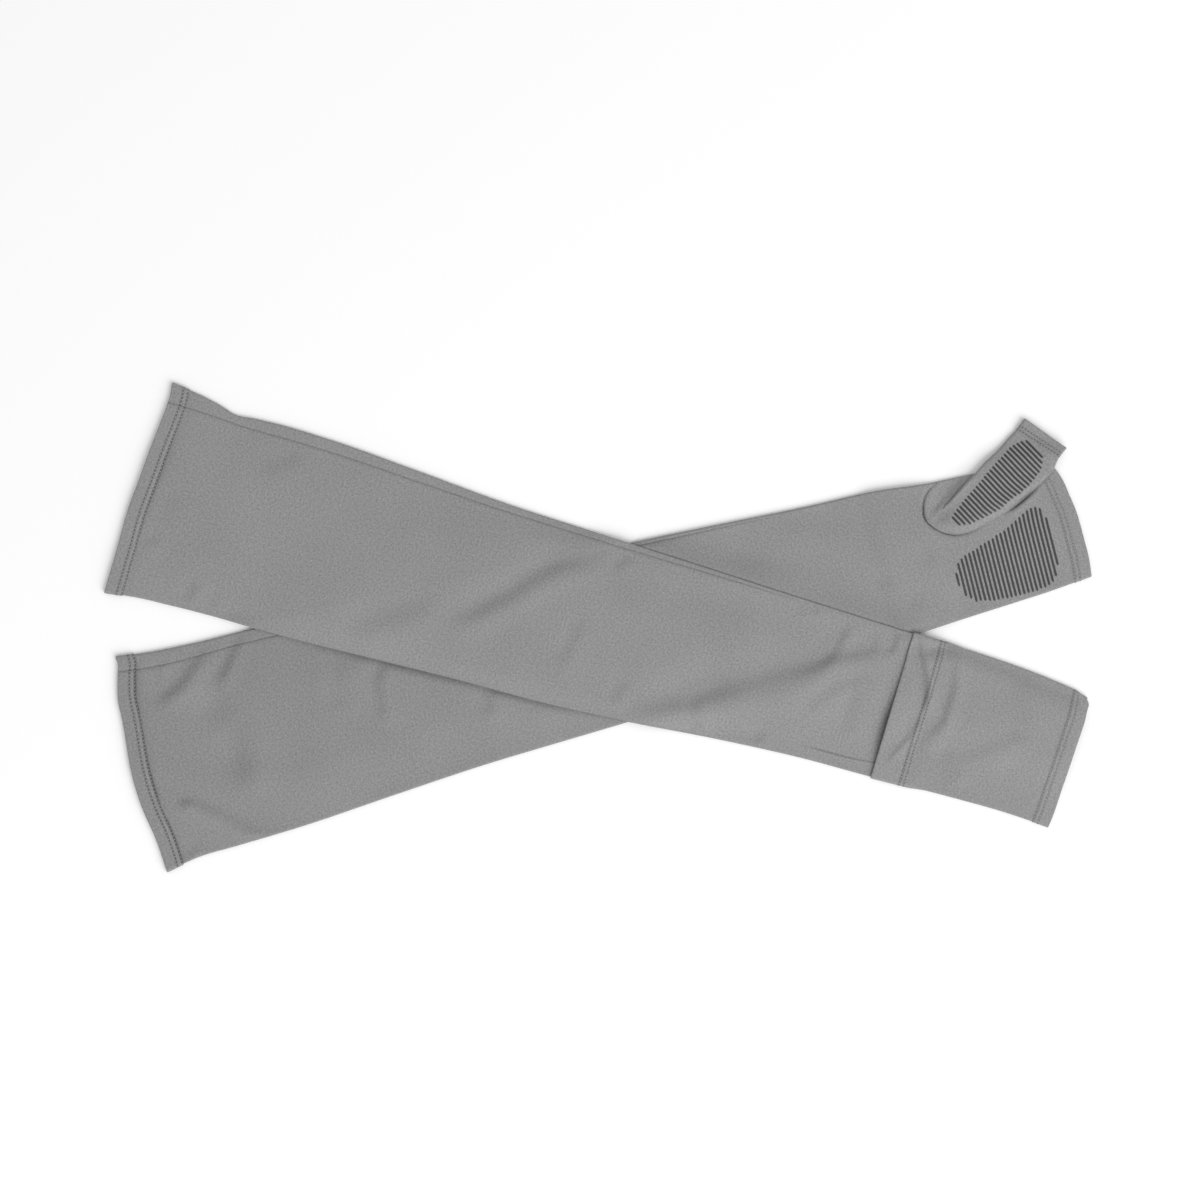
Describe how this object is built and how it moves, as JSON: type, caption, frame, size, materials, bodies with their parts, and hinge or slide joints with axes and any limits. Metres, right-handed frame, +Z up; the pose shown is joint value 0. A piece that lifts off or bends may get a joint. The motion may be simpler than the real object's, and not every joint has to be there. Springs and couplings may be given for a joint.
{
  "type": "pair of knitted arm sleeves with half gloves",
  "caption": "Pair of long knitted sun sleeves with half-glove hand covers and open thumbs, laid flat and crossed, one back up and one palm up.",
  "frame": {"origin": "under the middle of the pair's bounding box, on the surface it lies on", "axes": "+X runs from the upper arm ends to the hand ends, +Z is up from the surface"},
  "size_m": [0.615, 0.3048, 0.0089],
  "materials": {
    "arm_jersey": "matte knit",
    "hand_jersey": "matte knit",
    "thumb_jersey": "matte knit",
    "grip_print": "matte silicone print",
    "sewing_thread": "matte thread"
  },
  "bodies": {
    "root": {"right_arm_panel": "arm_jersey", "right_hand_back": "hand_jersey", "right_thumb": "thumb_jersey", "left_arm_panel": "arm_jersey", "left_hand_back": "hand_jersey", "left_thumb": "thumb_jersey"}
  },
  "joints": []
}
